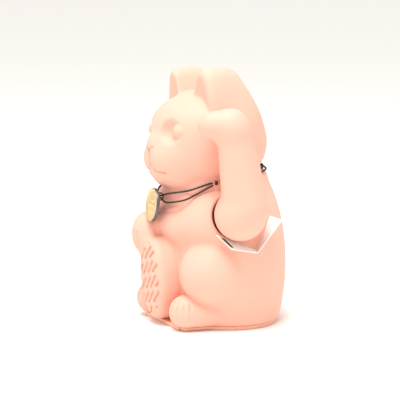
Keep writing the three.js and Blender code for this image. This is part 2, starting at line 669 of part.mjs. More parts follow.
/** A screw with a pan head at one end: head up for the movement, head down for the base. */
function screw(length, headUp) {
  const { shank, head: headRadius, headHeight } = SCREW;
  const profile = [
    [0, 0],
    [shank * 0.5, 0],
    [shank, 0.8],
    [shank, length],
    [headRadius, length],
    [headRadius, length + headHeight * 0.6],
    [headRadius * 0.7, length + headHeight],
    [0, length + headHeight],
  ].map(([x, y]) => new THREE.Vector2(x, y));
  const geometry = new THREE.LatheGeometry(profile, 10);
  geometry.rotateX(headUp ? Math.PI / 2 : -Math.PI / 2);
  const recess = (turn) => {
    const cross = new THREE.BoxGeometry(headRadius * 1.2, 0.7, 1.2);
    cross.rotateZ(turn);
    cross.translate(0, 0, (headUp ? 1 : -1) * (length + headHeight));
    return solid(cross);
  };
  return geometryOf(solid(geometry).subtract(join([recess(0), recess(Math.PI / 2)])));
}

// ---- Raised arm, in its own frame with the pivot's height and depth at zero ----

/** The arm's outside, made smaller all round by the inset. */
function armForm(inset) {
  const elbow = [UPRIGHT_X, 1, 5.7];
  const wrist = [UPRIGHT_X - 0.5, -UPRIGHT_LEAN, UPRIGHT_HEIGHT];
  const knuckle = [UPRIGHT_X - 1, -UPRIGHT_LEAN - 2, UPRIGHT_HEIGHT + 5];
  const fingertip = [UPRIGHT_X - 4.5, -HAND_REACH, UPRIGHT_HEIGHT + 7];
  return join([
    ellipsoid({ at: [HUB_X, 0, 0], radii: [HUB_RADIUS, HUB_RADIUS, HUB_RADIUS] }, inset, 22),
    taperedRod(elbow, wrist, UPRIGHT_RADIUS, UPRIGHT_TOP_RADIUS, inset, 18),
    taperedRod(knuckle, fingertip, HAND_RADIUS, FINGER_RADIUS, inset, 16),
  ]);
}

/** The two halves of the hollow arm, and the socket for the shaft in the inner one. */
function armShells() {
  const hollow = armForm(0).subtract(armForm(ARM_WALL));
  const socket = bar('x', [0, 0], SHAFT_RADIUS + 2, HUB_X - HUB_RADIUS + 1, SOCKET_END, 20);
  const bore = bar('x', [0, 0], SHAFT_RADIUS + RUN_GAP, HUB_X - HUB_RADIUS - 3, SOCKET_END - 2, 20);
  const whole = hollow.add(socket.intersect(armForm(0))).subtract(bore);
  const split = UPRIGHT_X + 1;
  const inner = whole.intersect(box([0, -60, -60], [split - SEAT_GAP / 2, 60, 90]));
  const outer = whole.intersect(box([split + SEAT_GAP / 2, -60, -60], [120, 60, 90]));
  return { inner, outer };
}

/** The pendulum lever: a boss on the shaft, a flat stem, a ring for the weight, a pad for the magnet. */
function pendulum() {
  const half = LEVER_THICKNESS / 2;
  const { radius, drop, back } = COUNTERWEIGHT;
  const solids = [
    bar('x', [0, 0], SHAFT_RADIUS + 2.5, -half - 1.5, half + 1.5, 20),
    box([-half, -3, -drop], [half, 3, 0]),
    bar('x', [back, -drop], LEVER_RING, -half, half, 28),
    box([-half, -MAGNET.radius, -drop - LEVER_RING - 1.2], [half, MAGNET.radius, -drop - radius - 0.6]),
  ];
  const holes = [
    bar('x', [0, 0], SHAFT_RADIUS + RUN_GAP, -10, 10, 20),
    bar('x', [back, -drop], radius + SEAT_GAP, -10, 10, 28),
  ];
  return join(solids).subtract(join(holes));
}

// ---- Collar, medallion and card ----

const strandUpper = [
  [26, -10.6, 82.2], [23.7, -14.2, 80.8], [20.1, -19.6, 78.4], [15.4, -22.7, 76.8],
  [8.9, -29.2, 75.2], [MEDAL.x, RING.y, RING.z + 0.6], [-5, -29.7, 73.8], [-11.3, -26, 75.4],
  [-17.5, -21, 76.9], [-24, -14.8, 79.7], [-28, -6.5, 83.2], [-29.5, 2.1, 84.9], [-27.8, 12, 86.3],
  [-22.8, 21.1, 87.3], [-12.2, 28.4, 87.9], [0, 30.8, 88], [12.1, 27.9, 87.8], [22.1, 20.4, 87.2],
  [26.7, 11.7, 86.2], [28.2, 2, 84.9], [27.9, -2.9, 83.9], [27.3, -7, 83.1],
];
const strandLower = [
  [26.3, -10.4, 81], [24.2, -13.7, 78.8], [20.7, -18.5, 75.4], [17.2, -24.1, 72.2],
  [8.6, -30.6, 70.3], [MEDAL.x, RING.y, RING.z - 0.6], [-4.5, -32.4, 67.6], [-12, -30.8, 65.6],
  [-20, -25.9, 69.3], [-26.3, -15.6, 75.9], [-28.8, -6.7, 80.6], [-29.2, 2, 83.2],
  [-27.7, 12.1, 84.7], [-22.8, 21.1, 85.7], [-12.8, 29.5, 86.2], [0, 32.4, 86.3],
  [12.8, 29.4, 86.2], [22.8, 21.1, 85.8], [27.6, 12.1, 84.8], [29, 2, 83.3], [28.5, -3, 82.3],
  [27.7, -7, 81.9],
];

/** The disc, hung behind its top edge and leaning on the chest. */
function medal() {
  const { radius, thickness, tilt } = MEDAL;
  const profile = [
    [0, 0],
    [radius, 0],
    [radius, thickness],
    [radius - 1.2, thickness],
    [radius - 1.2, thickness - 0.4],
    [0, thickness - 0.4],
  ].map(([x, y]) => new THREE.Vector2(x, y));
  const geometry = new THREE.LatheGeometry(profile, 32);
  geometry.rotateX(Math.PI);
  geometry.translate(0, -RING.radius - RING.wire - SEAT_GAP, 4.5 - radius);
  geometry.rotateX(THREE.MathUtils.degToRad(-tilt));
  return geometry;
}

/** A leaf of paper between two edges, each an inner and an outer corner. */
function leaf(fromEdge, toEdge) {
  const [a, b, c, d] = [...fromEdge, ...toEdge].map(([out, y, z]) => (
    new THREE.Vector3(BODY_SIDE + out, PIVOT_Y + HUB_RADIUS * y, PIVOT_Z + HUB_RADIUS * z)
  ));
  const facing = b.clone().sub(a).cross(c.clone().sub(a)).setLength(PAPER);
  const geometry = new THREE.BoxGeometry(1, 1, 1, 1, 6, 1);
  const points = geometry.attributes.position;
  for (let i = 0; i < points.count; i += 1) {
    const across = points.getX(i) + 0.5;
    const along = points.getY(i) + 0.5;
    const start = a.clone().lerp(b, across);
    const place = start.lerp(c.clone().lerp(d, across), along).addScaledVector(facing, points.getZ(i));
    points.setXYZ(i, place.x, place.y, place.z);
  }
  return solid(geometry);
}

/** The paper card: a folded strip whose front leaf twists under the hub and whose back leaf stands clear. */
function card() {
  const { frontEdge, foldEdge, backEdge } = CARD;
  return leaf(frontEdge, foldEdge).add(leaf(foldEdge, backEdge)).subtract(cat(-SEAT_GAP));
}

// ---- Assembly ----

const figurine = new THREE.Group();

/** Adds one named piece to a group. */
function add(group, name, shape, material, at = [0, 0, 0]) {
  const geometry = shape.isBufferGeometry ? shape : geometryOf(shape);
  const mesh = new THREE.Mesh(geometry, material);
  mesh.name = name;
  mesh.position.set(...at);
  group.add(mesh);
  return mesh;
}

add(figurine, 'front_shell', frontShell, peach());
add(figurine, 'back_shell', backShell, peach());
add(figurine, 'base_plate', basePlate(), peach());
add(figurine, 'battery_door', batteryDoor(), peach());
add(figurine, 'aa_cell', cell(), finish(0x3f6fa8, 0.35, 0.3));
add(figurine, 'negative_contact', contact(NEGATIVE_X), zinc());
add(figurine, 'positive_contact', contact(POSITIVE_X), zinc());
add(figurine, 'battery_spring', contactSpring(), zinc());

add(figurine, 'movement_frame', movementFrame(), greyPlastic());
add(figurine, 'left_bush', bush(1), finish(0xe9e6dc, 0.4));
add(figurine, 'right_bush', bush(-1), finish(0xe9e6dc, 0.4));
add(figurine, 'coil_bobbin', bobbin(), finish(0xf0efe8, 0.5));
add(figurine, 'coil_winding', winding(), finish(0xb5642c, 0.35, 0.8));
add(figurine, 'circuit_board', circuitBoard(), finish(0x2f7d4f, 0.5));

baseScrews.forEach(({ x, y }, i) => {
  const length = SCREW.length;
  const at = [x, y, length + SCREW.headHeight + SEAT_GAP / 4];
  add(figurine, `base_screw_${i + 1}`, screw(length, false), steel(), at);
});
[-1, 1].forEach((side, i) => {
  const length = FRAME_BOSS_HEIGHT + 1;
  const at = [side * FRAME_BOSS_X, FRAME_BOSS_Y, FRAME_FOOT_Z + 2 + SEAT_GAP - length];
  add(figurine, `movement_screw_${i + 1}`, screw(length, true), steel(), at);
});

const tabTop = ROOF_TOP + 2 + SEAT_GAP + LEAD_RADIUS;
const boardTop = BOARD.z + BOARD.thickness + SEAT_GAP;
const leadRoute = (x, end) => [
  [x, BAY_Y, tabTop],
  [x * 0.98, BAY_Y - 7, tabTop + 1],
  [x * 0.95, CHEEK_BACK - 3, ROOF_TOP - 2],
  [x * 0.85, FRAME_BOSS_Y - 4, 15],
  [x * 0.65, CHEEK_FRONT - 2, 13.5],
  [end * 1.5, BOARD_Y - 2, 12.5],
  [end, BOARD_Y - 3.5, 10.5],
  [end, BOARD_Y - 3.5, boardTop],
];
add(figurine, 'lead_black', tube(leadRoute(NEGATIVE_X, -7), LEAD_RADIUS, 20, 6), finish(0x1d1d1f, 0.5));
add(figurine, 'lead_red', tube(leadRoute(POSITIVE_X, 8), LEAD_RADIUS, 20, 6), finish(0xb3261e, 0.5));

const arm = new THREE.Group();
arm.position.set(0, PIVOT_Y, PIVOT_Z);
figurine.add(arm);
const { inner: armInner, outer: armOuter } = armShells();
add(arm, 'arm_inner_shell', armInner, peach());
add(arm, 'arm_outer_shell', armOuter, peach());
add(arm, 'arm_shaft', bar('x', [0, 0], SHAFT_RADIUS, SHAFT_START, SOCKET_END - 2.5, 20), steel());
add(arm, 'pendulum_lever', pendulum(), finish(0xdedbd2, 0.5));
const { radius: weightRadius, length: weightLength, drop: weightDrop, back: weightBack } = COUNTERWEIGHT;
const weight = bar('x', [weightBack, -weightDrop], weightRadius, -weightLength / 2, weightLength / 2, 28);
add(arm, 'counterweight', weight, steel());
const magnetTop = MAGNET_TOP - PIVOT_Z;
add(arm, 'pendulum_magnet', bar('z', [0, 0], MAGNET.radius, magnetTop - MAGNET.height, magnetTop, 24), zinc());
const clip = bar('x', [0, 0], SHAFT_RADIUS + 1.4, SHAFT_START + 0.8, SHAFT_START + 1.6, 20)
  .subtract(bar('x', [0, 0], SHAFT_RADIUS + RUN_GAP, SHAFT_START, SHAFT_START + 3, 20))
  .subtract(box([SHAFT_START, -0.9, 0], [SHAFT_START + 3, 0.9, 6]));
add(arm, 'retaining_clip', clip, steel());

add(figurine, 'collar_strand_upper', tube(strandUpper, CORD_RADIUS, 52, 6), finish(0x4a4238, 0.8));
add(figurine, 'collar_strand_lower', tube(strandLower, CORD_RADIUS, 52, 6), finish(0x4a4238, 0.8));
const knot = new THREE.SphereGeometry(KNOT.radius, 14, 8);
add(figurine, 'collar_knot', knot, finish(0x4a4238, 0.8), KNOT.at);

const hanger = new THREE.Group();
hanger.position.set(MEDAL.x, RING.y, RING.z);
figurine.add(hanger);
add(hanger, 'medallion', medal(), finish(0xd9c07c, 0.35, 1));
const ringShape = oval(RING.radius, 0, RING.wire, RING.wire, 8).getPoints();
const ring = new THREE.LatheGeometry([...ringShape, ringShape[0]], 24);
ring.rotateZ(Math.PI / 2);
add(hanger, 'medallion_ring', ring, finish(0x8d8a82, 0.4, 1));

add(figurine, 'transit_card', card(), finish(0xf3f3f1, 0.9));

export default figurine;
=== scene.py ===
"""A beckoning cat figurine: a moulded cat in two shells on a base plate, with a battery movement that
rocks its raised arm, a cord collar with a hanging medallion, and a folded card beside the arm's hub.
The cat looks along -Y and its own left is +X. Forms are worked out in millimetres."""
import json
import math

import bpy
import numpy as np
from mathutils import Matrix, Vector


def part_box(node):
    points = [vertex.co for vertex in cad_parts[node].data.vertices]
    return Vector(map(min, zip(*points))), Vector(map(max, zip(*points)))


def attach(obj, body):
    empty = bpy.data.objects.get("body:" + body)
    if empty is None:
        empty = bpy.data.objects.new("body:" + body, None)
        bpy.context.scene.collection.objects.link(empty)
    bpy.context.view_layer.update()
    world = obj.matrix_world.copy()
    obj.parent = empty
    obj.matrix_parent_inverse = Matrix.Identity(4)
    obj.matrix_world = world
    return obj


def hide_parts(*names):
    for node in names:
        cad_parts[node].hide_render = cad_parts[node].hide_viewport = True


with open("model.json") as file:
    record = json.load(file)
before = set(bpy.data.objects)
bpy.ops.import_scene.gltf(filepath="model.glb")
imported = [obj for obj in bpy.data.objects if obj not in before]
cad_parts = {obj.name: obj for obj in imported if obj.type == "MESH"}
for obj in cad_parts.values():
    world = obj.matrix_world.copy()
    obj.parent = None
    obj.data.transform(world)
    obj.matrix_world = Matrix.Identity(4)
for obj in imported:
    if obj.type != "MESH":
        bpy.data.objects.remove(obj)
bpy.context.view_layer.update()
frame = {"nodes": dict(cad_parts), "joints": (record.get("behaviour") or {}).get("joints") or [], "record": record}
MM = 0.001
joints = {joint["name"]: joint for joint in frame["joints"]}

# ---------------------------------------------------------------------------------------------
# Front and back shells. Two thin peach mouldings with a soft-touch matt coat make the whole cat.
# They meet in one upright plane through the ears, and screw down on the base plate.
# ---------------------------------------------------------------------------------------------


def corner(node, high):
    """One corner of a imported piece's box, in millimetres."""
    return np.array(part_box(node)[high]) / MM


PIVOT_Y, PIVOT_Z = (joints["arm_swing"]["pos_m"][i] / MM for i in (1, 2))
SEAM_Y = PIVOT_Y
SEAM_Z = corner("front_shell", 0)[2]
SEAM_HAIRLINE = 0.01
SHELL_WALL = 2.0
SHELL_GRID = 0.6
LINING_GRID = 1.6
TORSO = ((0, 8.5, 33), (41, 34.5, 67.7))
CHEST = ((0, -6, 57), (27, 25.5, 17.5))
SHOULDER = ((22, -4, 61), (16.5, 20, 17.5))
NECK = ((0, 4.5, 80), (28.5, 29.5, 14))
BIB = ((0, -2.5, 72), (25.5, 25, 12.5))
THIGH = ((25, -9, 32), (17.5, 20, 19.5))
TOE, TOE_RADIUS = (22, -25, 10.5), 9.5
HEEL, HEEL_RADIUS = (28, 8, 8), 7
TOE_GROOVES = (0, 30, 55, 80)  # degrees round the toe, from straight ahead
TOE_GROOVE_ROUTE = ((9.7, 2), (9.5, 11), (7.4, 17))  # reach from the toe's middle, and height
TOE_GROOVE_RADIUS = 0.55
HEAD_TILT, HEAD_TILT_Z = math.radians(3), 88
SKULL = ((0, 0, 101), (33.5, 32.5, 27))
BROW = ((0, -3, 110), (31, 29, 20))
CHEEK = ((4.5, -25.5, 93.5), (11, 11.5, 10))
JAW = ((0, -18.5, 86), (17, 13.5, 11))
NOSE = ((0, -32, 102), (4.5, 5, 5.5))
SOCKET = ((14.8, -31.5, 110), (8.2, 5, 7.2))
EYEBALL = ((15.8, -22.8, 109), (6.2, 6.2, 5.4))
MOUTH = ((0, 98.5), (0, 92), (2.2, 89), (6, 87), (11, 86.6))
NOSTRIL = ((0, 98.6), (3.6, 100.4))
FACE_Y = -20  # the face's lines are only cut in front of this
CROWN = ((0, -1, 110), (34, 33, 46))
EAR_FRONT = ((17, -14.4, 130), (0.27, -1, 0))
EAR_ROOT = ((0, 0, 92), (0, 0, -1))
EAR_SIDES = (  # a point and the way out for each plane, and how softly it meets the others
    ((24.5, 0, 141), (0.965, 0, 0.24), 4), ((14.2, 0, 141), (-0.92, 0, 0.4), 5),
    ((0, 7.6, 141), (0, 0.86, 0.5), 5), ((19, -8, 144.5), (0, -0.06, 1), 7),
)
EAR_HOLLOW = ((18, -17.2, 125.5), (10.5, 5.5, 16.5))
TABLET_Z, TABLET_WIDTH, TABLET_HEIGHT = 26.8, 14, 23.7
TABLET_FRONT, TABLET_BACK, TABLET_LEAN = -38, -16, 0.055
STROKE_SLANT, STROKE_PITCH, STROKE_LENGTH, STROKE_STAGGER = math.radians(48), 3.6, 15, 0.37
STROKE_GAPS = (0.36, 0.22)  # half of a stroke's share of its length and of its row
STROKE_DEPTH, STROKE_MARGIN = 1.2, 0.85
FOREARM = ((-25, -9, 61.5), (-13, -29.5, 54), 10, 8.5)
RIGHT_PAW = ((-10, -34.5, 50), (9, 8, 12))
PAW_GROOVES = (((-13, 43), (-13, 52)), ((-10, 43), (-10, 52)), ((-7, 43), (-7, 52)))
PAW_FRONT = -36
OPENING = ((42.7, -2, 66.3), (15.7, 15.7, 15.7))
BELOW_SEAM = 5
GROOVE_RADIUS = 0.35
FAR = 9  # added to a mark's distance to leave it out


def egg(points, centre, radii):
    """Distance from an ellipsoid."""
    offset = points - np.float32(centre)
    radii = np.float32(radii)
    near = np.linalg.norm(offset / radii, axis=-1)
    slope = np.linalg.norm(offset / radii**2, axis=-1)
    return near * (near - 1) / np.maximum(slope, 1e-6)


def rod(points, start, end, start_radius, end_radius):
    """Distance from a round rod with ball ends of two radii."""
    start, end = np.float32(start), np.float32(end)
    along = end - start
    length2 = float(along @ along)
    drop = start_radius - end_radius
    rest = length2 - drop**2
    offset = points - start
    reach = offset @ along
    past = reach - length2
    aside2 = ((offset * length2 - reach[..., None] * along) ** 2).sum(-1)
    turn = math.copysign(drop**2, drop) * aside2
    distance = (np.sqrt(aside2 * rest / length2) + reach * drop) / length2 - start_radius
    at_start = np.sign(reach) * rest * reach**2 * length2 < turn
    at_end = np.sign(past) * rest * past**2 * length2 > turn
    distance = np.where(at_start, np.sqrt(aside2 + reach**2 * length2) / length2 - start_radius, distance)
    return np.where(at_end, np.sqrt(aside2 + past**2 * length2) / length2 - end_radius, distance)


def join(a, b, soft):
    """Two forms as one, with a fillet where they meet."""
    blend = np.maximum(soft - np.abs(a - b), 0) / soft
    return np.minimum(a, b) - blend**2 * soft / 4


def meet(a, b, soft):
    """What two forms share."""
    return -join(-a, -b, soft)


def cut(a, b, soft):
    """One form with another taken away."""
    return meet(a, -b, soft)


def plane(points, point, normal):
    """Distance in front of a plane."""
    normal = np.float32(normal)
    return (points - np.float32(point)) @ (normal / np.linalg.norm(normal))


def stroke(points, route, radius):
    """Distance from a round line drawn through a route."""
    nearest = np.float32(1e9)
    for start, end in zip(np.float32(route), np.float32(route)[1:]):
        along = end - start
        share = np.clip((points - start) @ along / (along @ along), 0, 1)
        nearest = np.minimum(nearest, np.linalg.norm(points - start - share[..., None] * along, axis=-1))
    return nearest - radius


def engrave(form, mark, depth, soft):
    """A form with a mark cut into its surface to a set depth."""
    return cut(form, np.maximum(mark, -depth - form), soft)


def both_sides(points):
    """The same points, all on the +X side."""
    return np.concatenate([np.abs(points[..., :1]), points[..., 1:]], -1)


def level(points):
    """Points as seen by the head before it is tilted."""
    x, z = points[..., 0], points[..., 2] - HEAD_TILT_Z
    cosine, sine = math.cos(HEAD_TILT), math.sin(HEAD_TILT)
    return np.stack([x * cosine + z * sine, points[..., 1], z * cosine - x * sine + HEAD_TILT_Z], -1)


def ear_form(points):
    """One ear: flat in front, with sides that close upwards, and a back that runs down to the nape."""
    form = plane(points, *EAR_FRONT)
    for point, normal, soft in EAR_SIDES:
        form = meet(form, plane(points, point, normal), soft)
    form = meet(form, egg(points, *CROWN), 3)
    form = np.maximum(form, plane(points, *EAR_ROOT))
    return cut(form, egg(points, *EAR_HOLLOW), 1.5)


def head_form(points, detail):
    """The head, with its ears, muzzle, nose, mouth line and lidless bulging eyes."""
    points = level(points)
    pair = both_sides(points)
    form = join(egg(points, *SKULL), egg(points, *BROW), 6)
    form = join(form, egg(pair, *CHEEK), 8)
    form = join(form, egg(points, *JAW), 7)
    form = join(form, egg(points, *NOSE), 5)
    form = join(form, ear_form(pair), 1.5)
    form = join(cut(form, egg(pair, *SOCKET), 2.5), egg(pair, *EYEBALL), 0.3)
    if detail:
        face = np.where(points[..., 1] < FACE_Y, 0, FAR)
        form = engrave(form, face + stroke(pair[..., (0, 2)], MOUTH, GROOVE_RADIUS), 0.9, 1.2)
        form = engrave(form, face + stroke(pair[..., (0, 2)], NOSTRIL, 0.3), 0.6, 1.2)
    return form


def tablet_form(points, detail):
    """The oval tablet, pillowed at its edge, with hammered slanting dashes on its face."""
    x, y, z = points[..., 0], points[..., 1], points[..., 2] - TABLET_Z
    share = np.hypot(x / TABLET_WIDTH, z / TABLET_HEIGHT)
    front = TABLET_FRONT - TABLET_LEAN * (z + 5)
    form = meet((share - 1) * TABLET_WIDTH, np.maximum(front - y, y - TABLET_BACK), 6)
    if detail:
        along = x * math.cos(STROKE_SLANT) + z * math.sin(STROKE_SLANT)
        row = (z * math.cos(STROKE_SLANT) - x * math.sin(STROKE_SLANT)) / STROKE_PITCH
        spot = along / STROKE_LENGTH + STROKE_STAGGER * np.floor(row)
        dash = (np.abs(spot - np.floor(spot) - 0.5) - STROKE_GAPS[0]) * STROKE_LENGTH
        line = (np.abs(row - np.floor(row) - 0.5) - STROKE_GAPS[1]) * STROKE_PITCH
        edge = (share - STROKE_MARGIN) * TABLET_WIDTH
        mark = np.maximum(np.maximum(dash, line), np.maximum(edge, y - front - 3))
        form = engrave(form, mark, STROKE_DEPTH, 0.6)
    return form


def foot_form(points, detail):
    """One foot along the flank, with grooves between its toes."""
    form = rod(points, TOE, HEEL, TOE_RADIUS, HEEL_RADIUS)
    for degrees in TOE_GROOVES if detail else ():
        x, y = math.sin(math.radians(degrees)), -math.cos(math.radians(degrees))
        route = [(TOE[0] + reach * x, TOE[1] + reach * y, z) for reach, z in TOE_GROOVE_ROUTE]
        form = cut(form, stroke(points, route, TOE_GROOVE_RADIUS), 0.8)
    return form


def cat_form(points, detail=True):
    """The whole cat without its raised arm."""
    pair = both_sides(points)
    chest = join(egg(points, *CHEST), egg(pair, *SHOULDER), 8)
    form = join(egg(points, *TORSO), chest, 4)
    form = join(form, join(egg(points, *NECK), egg(points, *BIB), 4), 1)
    form = join(form, egg(pair, *THIGH), 2.5)
    form = join(form, foot_form(pair, detail), 1.2)
    form = join(form, head_form(points, detail), 1)
    form = join(form, tablet_form(points, detail), 1)
    paw = join(rod(points, *FOREARM), egg(points, *RIGHT_PAW), 4)
    if detail:
        front = np.where(points[..., 1] < PAW_FRONT, 0, FAR)
        for groove in PAW_GROOVES:
            mark = front + stroke(points[..., (0, 2)], groove, GROOVE_RADIUS)
            paw = engrave(paw, mark, 0.8, 1.4)
    form = join(form, paw, 2.5)
    if detail:
        form = cut(form, egg(points, *OPENING), 1.2)
    return np.maximum(form, SEAM_Z - BELOW_SEAM - points[..., 2])


def sampled(form, low, counts, step, block=4):
    """A form's distances on a grid. Only blocks near its surface are worked out point by point."""
    blocks = np.ceil(np.array(counts) / block).astype(int)
    centre = [low[i] + (np.arange(blocks[i]) * block + (block - 1) / 2) * step for i in range(3)]
    rough = form(np.stack(np.meshgrid(*centre, indexing="ij"), -1).astype(np.float32))
    grid = np.kron(rough, np.ones((block,) * 3, np.float32))
    cells = grid.reshape(blocks[0], block, blocks[1], block, blocks[2], block).transpose(0, 2, 4, 1, 3, 5)
    offsets = np.stack(np.meshgrid(*[np.arange(block)] * 3, indexing="ij"), -1)
    near = np.argwhere(np.abs(rough) < 1.5 * block * step)
    for part in np.array_split(near, max(1, len(near) // 8000)):
        points = np.array(low) + (part[:, None, None, None] * block + offsets) * step
        cells[tuple(part.T)] = form(points.astype(np.float32))
    return grid


CELL_CORNERS = [(i, j, k) for i in (0, 1) for j in (0, 1) for k in (0, 1)]


def in_one_part(corners):
    """Whether cell corners hang together along the cell's edges."""
    reached = set(corners[:1])
    for _ in corners:
        reached |= {c for c in corners if any(sum(abs(a - b) for a, b in zip(c, r)) == 1 for r in reached)}
    return len(reached) == len(corners)


def cell_views(values):
    """The eight corners of every cell of a grid."""
    size = np.array(values.shape) - 1
    return [values[tuple(slice(c[i], c[i] + size[i]) for i in range(3))] for c in CELL_CORNERS]


def fill_pinches(grid, step):
    """Fills cells where two sheets of a surface would share one vertex, so that it stays a closed skin."""
    parts = []
    for code in range(256):
        chosen = [corner for n, corner in enumerate(CELL_CORNERS) if code >> n & 1]
        others = [corner for corner in CELL_CORNERS if corner not in chosen]
        parts.append(in_one_part(chosen) and in_one_part(others))
    whole = np.array(parts)
    for _ in range(12):
        code = sum((view < 0).astype(np.int32) << n for n, view in enumerate(cell_views(grid)))
        pinched = ~whole[code]
        if not pinched.any():
            break
        for view in cell_views(grid):
            view[pinched & (view >= 0)] = -0.01 * step


def surface(form, low, high, step):
    """Vertices and quads of a form's surface, one vertex to a grid cell, settled on the form itself."""
    low, high = np.array(low, float), np.array(high, float)
    grid = sampled(form, low, ((high - low) / step).astype(int) + 1, step)
    fill_pinches(grid, step)
    inside = grid < 0
    size = np.array(grid.shape) - 1
    count = sum(view.astype(np.int8) for view in cell_views(inside))
    cells = np.argwhere((count > 0) & (count < 8))
    number = np.full(size, -1, np.int32)
    number[tuple(cells.T)] = np.arange(len(cells))
    value = {corner: view[tuple(cells.T)] for corner, view in zip(CELL_CORNERS, cell_views(grid))}
    total, hits = np.zeros((len(cells), 3)), np.zeros(len(cells))
    for a in CELL_CORNERS:
        for axis in (axis for axis in range(3) if not a[axis]):
            b = tuple(int(a[i] or i == axis) for i in range(3))
            crossed = (value[a] < 0) != (value[b] < 0)
            share = np.where(crossed, value[a] / np.where(crossed, value[a] - value[b], 1), 0)
            total += (np.array(a) + share[:, None] * (np.array(b) - np.array(a))) * crossed[:, None]
            hits += crossed
    vertices = low + (cells + total / hits[:, None]) * step
    quads = []
    for axis in range(3):
        u, v = (axis + 1) % 3, (axis + 2) % 3
        first = np.zeros(3, int)
        first[[u, v]] = 1
        span = [slice(first[i], size[i]) for i in range(3)]
        ahead = list(span)
        ahead[axis] = slice(1, size[axis] + 1)
        here, there = inside[tuple(span)], inside[tuple(ahead)]
        for flip, mask in ((False, here & ~there), (True, ~here & there)):
            at = np.argwhere(mask) + first
            steps = ((0, 0), (1, 0), (1, 1), (0, 1))
            around = []
            for du, dv in reversed(steps) if flip else steps:
                cell = at.copy()
                cell[:, u] -= 1 - du
                cell[:, v] -= 1 - dv
                around.append(number[tuple(cell.T)])
            quads.append(np.stack(around, -1))
    for _ in range(2):
        distance = form(vertices.astype(np.float32))
        nudge = 0.08
        probes = [form((vertices + nudge * np.eye(3)[i]).astype(np.float32)) for i in range(3)]
        slope = (np.stack(probes, -1) - distance[:, None]) / nudge
        move = distance[:, None] * slope / np.maximum((slope**2).sum(-1, keepdims=True), 0.25)
        vertices -= np.clip(move, -step / 2, step / 2)
    return vertices, np.concatenate(quads)


def add_mesh(name, vertices, faces):
    """A new smooth piece from points in millimetres."""
    mesh = bpy.data.meshes.new(name)
    points = (np.asarray(vertices, float) * MM).tolist()
    mesh.from_pydata(points, [], [list(map(int, face)) for face in faces])
    mesh.polygons.foreach_set("use_smooth", [True] * len(mesh.polygons))
    mesh.validate()
    mesh.update()
    piece = bpy.data.objects.new(name, mesh)
    bpy.context.scene.collection.objects.link(piece)
    return piece


def add_box(name, low, high):
    """A plain box between two corners, in millimetres."""
    corners = [[(low, high)[(n >> i) & 1][i] for i in range(3)] for n in range(8)]
    faces = ((0, 2, 3, 1), (4, 5, 7, 6), (0, 1, 5, 4), (2, 6, 7, 3), (0, 4, 6, 2), (1, 3, 7, 5))
    return add_mesh(name, corners, faces)


def combine(piece, tool, operation):
    """Cuts or joins a piece with a tool, and drops the tool."""
    change = piece.modifiers.new("combine", "BOOLEAN")
    change.operation = operation
    change.solver = "MANIFOLD"
    change.object = tool
    apply_modifiers(piece)
    bpy.data.objects.remove(tool)
    return piece


def apply_modifiers(piece):
    """Makes a piece's modifiers part of its mesh."""
    bpy.context.view_layer.update()
    changed = bpy.data.meshes.new_from_object(piece.evaluated_get(bpy.context.evaluated_depsgraph_get()))
    piece.modifiers.clear()
    piece.data = changed
    changed.name = piece.name


def crisp(piece, degrees=35):
    """Smooth shading that keeps edges sharper than an angle."""
    piece.data.polygons.foreach_set("use_smooth", [True] * len(piece.data.polygons))
    piece.data.set_sharp_from_angle(angle=math.radians(degrees))
    return piece


def copy_of(piece, name):
    """A second piece with the same mesh."""
    twin = bpy.data.objects.new(name, piece.data.copy())
    bpy.context.scene.collection.objects.link(twin)
    return twin


def hollow(name, form, plain_form, wall, low, high, grid):
    """A form as a closed skin with an even wall."""
    skin = add_mesh(name, *surface(form, low, high, grid))
    inside = surface(lambda points: plain_form(points) + wall, low, high, LINING_GRID)
    return combine(skin, add_mesh(name + "_lining", *inside), "DIFFERENCE")


REACH = 100  # past every side of the cat
cat = hollow(
    "cat_skin", cat_form, lambda points: cat_form(points, False), SHELL_WALL,
    (-46, -50, SEAM_Z - BELOW_SEAM - 2), (46, 48, 152), SHELL_GRID * (1),
)
combine(cat, add_box("below", (-REACH, -REACH, -REACH), (REACH, REACH, SEAM_Z)), "DIFFERENCE")
front_shell = copy_of(cat, "moulded_front_shell")
back_shell = cat
back_shell.name = "moulded_back_shell"
seam_front = (REACH, SEAM_Y - SEAM_HAIRLINE, 2 * REACH)
combine(front_shell, add_box("front", (-REACH, -REACH, 0), seam_front), "INTERSECT")
seam_back = (-REACH, SEAM_Y + SEAM_HAIRLINE, 0)
combine(back_shell, add_box("back", seam_back, (REACH, REACH, 2 * REACH)), "INTERSECT")


